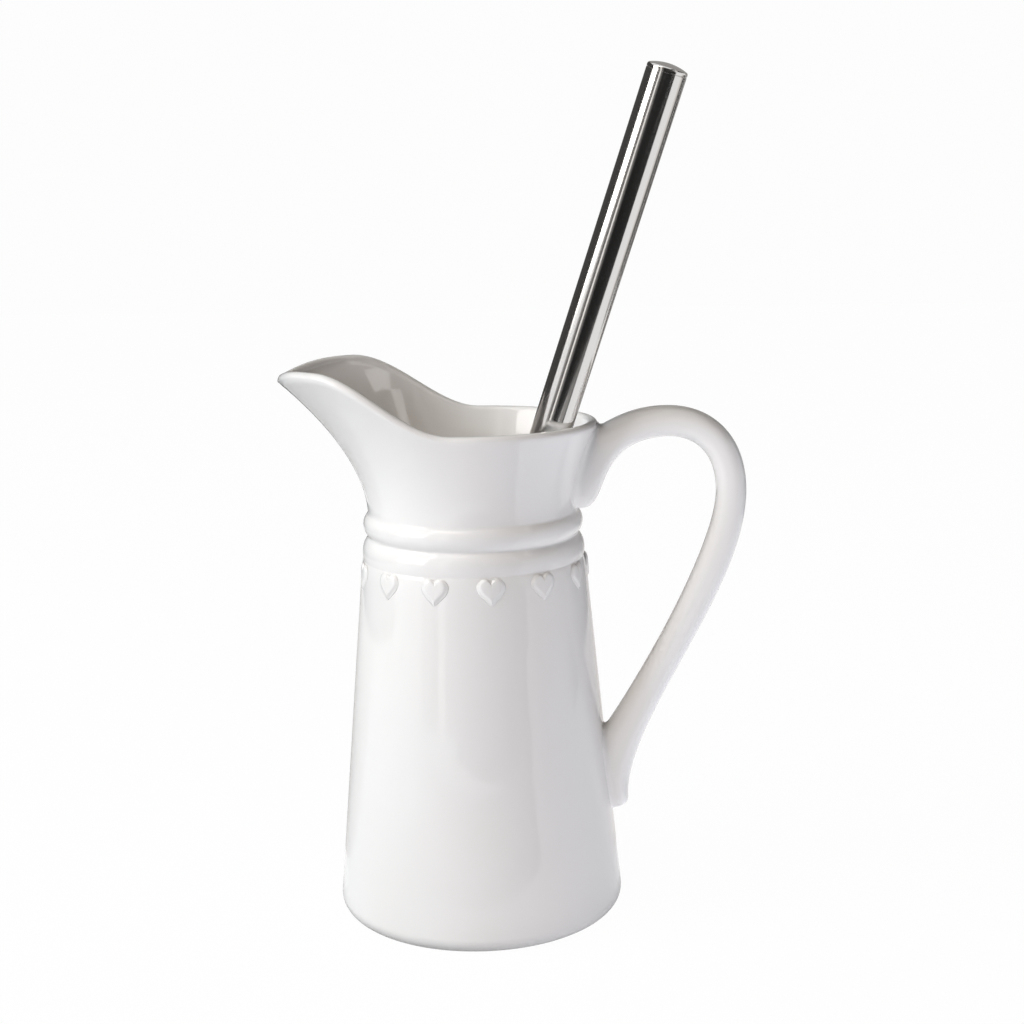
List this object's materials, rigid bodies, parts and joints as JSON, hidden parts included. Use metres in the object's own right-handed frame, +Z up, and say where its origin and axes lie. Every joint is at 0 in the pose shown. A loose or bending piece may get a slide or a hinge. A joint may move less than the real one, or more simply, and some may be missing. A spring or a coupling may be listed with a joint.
{
  "type": "brush holder jug",
  "caption": "Glazed jug with spout, loop handle, beads and raised hearts that holds a brush with a polished tube handle; the brush lifts out and its head unscrews.",
  "frame": {"origin": "centre of the jug's flat foot", "axes": "+Z up along the jug's axis, handle towards +X, spout towards -X"},
  "size_m": [0.2179, 0.136, 0.3931],
  "materials": {
    "glaze": "glossy white glaze",
    "polished_steel": "mirror polished",
    "plug_plastic": "moulded",
    "stud_steel": "zinc plated",
    "core_plastic": "moulded",
    "bristle": "nylon strands"
  },
  "bodies": {
    "jug": {"jug_body": "glaze", "jug_handle": "glaze", "heart_sprigs": "glaze"},
    "brush_handle": {"brush_tube": "polished_steel", "tube_cap": "polished_steel", "tube_plug": "plug_plastic", "head_stud": "stud_steel"},
    "brush_head": {"brush_core": "core_plastic", "bristle_tufts": "bristle"}
  },
  "joints": [
    {"name": "brush_lift", "type": "slide", "parent": "jug", "child": "brush_handle", "axis": [0.1908, 0.0087, 0.9816], "range_m": [0, 0.26]},
    {"name": "head_unscrew", "type": "hinge", "parent": "brush_handle", "child": "brush_head", "pos_m": [-0.00974, -0.00618, 0.0892], "axis": [0.3193, -0.084, 0.9439], "range_deg": [0, 3456]}
  ]
}
